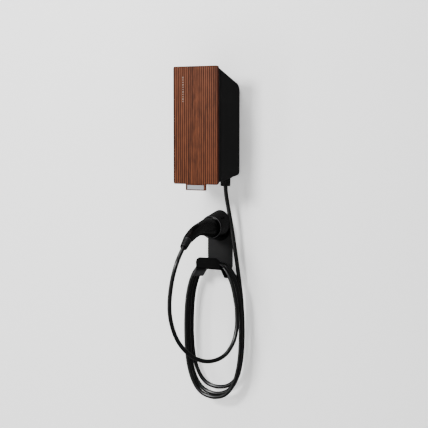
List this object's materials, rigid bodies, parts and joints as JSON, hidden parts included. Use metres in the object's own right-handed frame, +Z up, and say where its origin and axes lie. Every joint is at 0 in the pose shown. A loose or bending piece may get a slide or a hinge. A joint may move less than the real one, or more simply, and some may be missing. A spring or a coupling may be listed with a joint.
{
  "type": "ev wallbox",
  "caption": "Wall charger with a wooden front panel and a tapering black housing, a folded holder below with the charging plug parked in its dock and the cable coiled over its saddle.",
  "frame": {"origin": "On the wall plane, in the middle of the four wall holes of the housing.", "axes": "+X to the right as seen from the room, +Y into the wall, +Z up."},
  "size_m": [0.208, 0.3152, 1.0455],
  "materials": {
    "walnut": "satin veneer",
    "beech": "raw",
    "silver": "brushed",
    "black_plastic": "fine moulded texture",
    "black_nylon": "smooth",
    "black_rubber": "matt",
    "zinc": "zinc plated",
    "nylon": "natural",
    "light_grey_plastic": "moulded",
    "mid_grey_plastic": "moulded",
    "yellow_plastic": "moulded",
    "blue_plastic": "moulded",
    "green_board": "solder mask",
    "black_gloss": "moulded",
    "black_coat": "fine powder coat",
    "brass": "silver plated",
    "cable_jacket": "matt jacket"
  },
  "bodies": {
    "wallbox": {"front_panel": "walnut", "panel_tab": "walnut", "tab_dowels": "beech", "tab_plate": "silver", "housing": "black_plastic", "front_cover": "black_plastic", "cover_gasket": "black_rubber", "cover_screws": "zinc", "panel_studs": "nylon", "gland_body": "black_nylon", "gland_nut": "black_nylon", "gland_seal": "black_rubber", "gland_locknut": "black_nylon", "din_rail": "zinc", "rail_screws": "zinc", "rcd_body": "light_grey_plastic", "contactor": "light_grey_plastic", "energy_meter": "light_grey_plastic", "terminal_block": "mid_grey_plastic", "current_sensor": "blue_plastic", "supply_grommet": "black_rubber", "main_board": "green_board", "board_screws": "zinc", "power_module": "black_gloss", "relay_block": "blue_plastic", "radio_module": "zinc", "board_header": "mid_grey_plastic", "reader_antenna": "green_board", "holder_bracket": "black_coat", "dock_cup": "black_plastic", "dock_screws": "zinc", "plug_shroud": "black_plastic", "plug_insert": "black_gloss", "plug_contacts": "brass", "plug_handle": "black_plastic", "plug_boot": "black_rubber", "cable_lead": "cable_jacket", "cable_coil": "cable_jacket", "cable_front_loop": "cable_jacket"},
    "switch_lever": {"rcd_lever": "black_gloss"},
    "test_button": {"rcd_test_button": "yellow_plastic"}
  },
  "joints": [
    {"name": "lever_hinge", "type": "hinge", "parent": "wallbox", "child": "switch_lever", "pos_m": [-0.03227, -0.0702, 0.042], "axis": [1, 0, 0], "range_deg": [0, 50]},
    {"name": "button_press", "type": "slide", "parent": "wallbox", "child": "test_button", "axis": [0, 1, 0], "range_m": [0, 0.0012], "stiffness_N_per_m": 400, "springref_m": -0.0005}
  ]
}
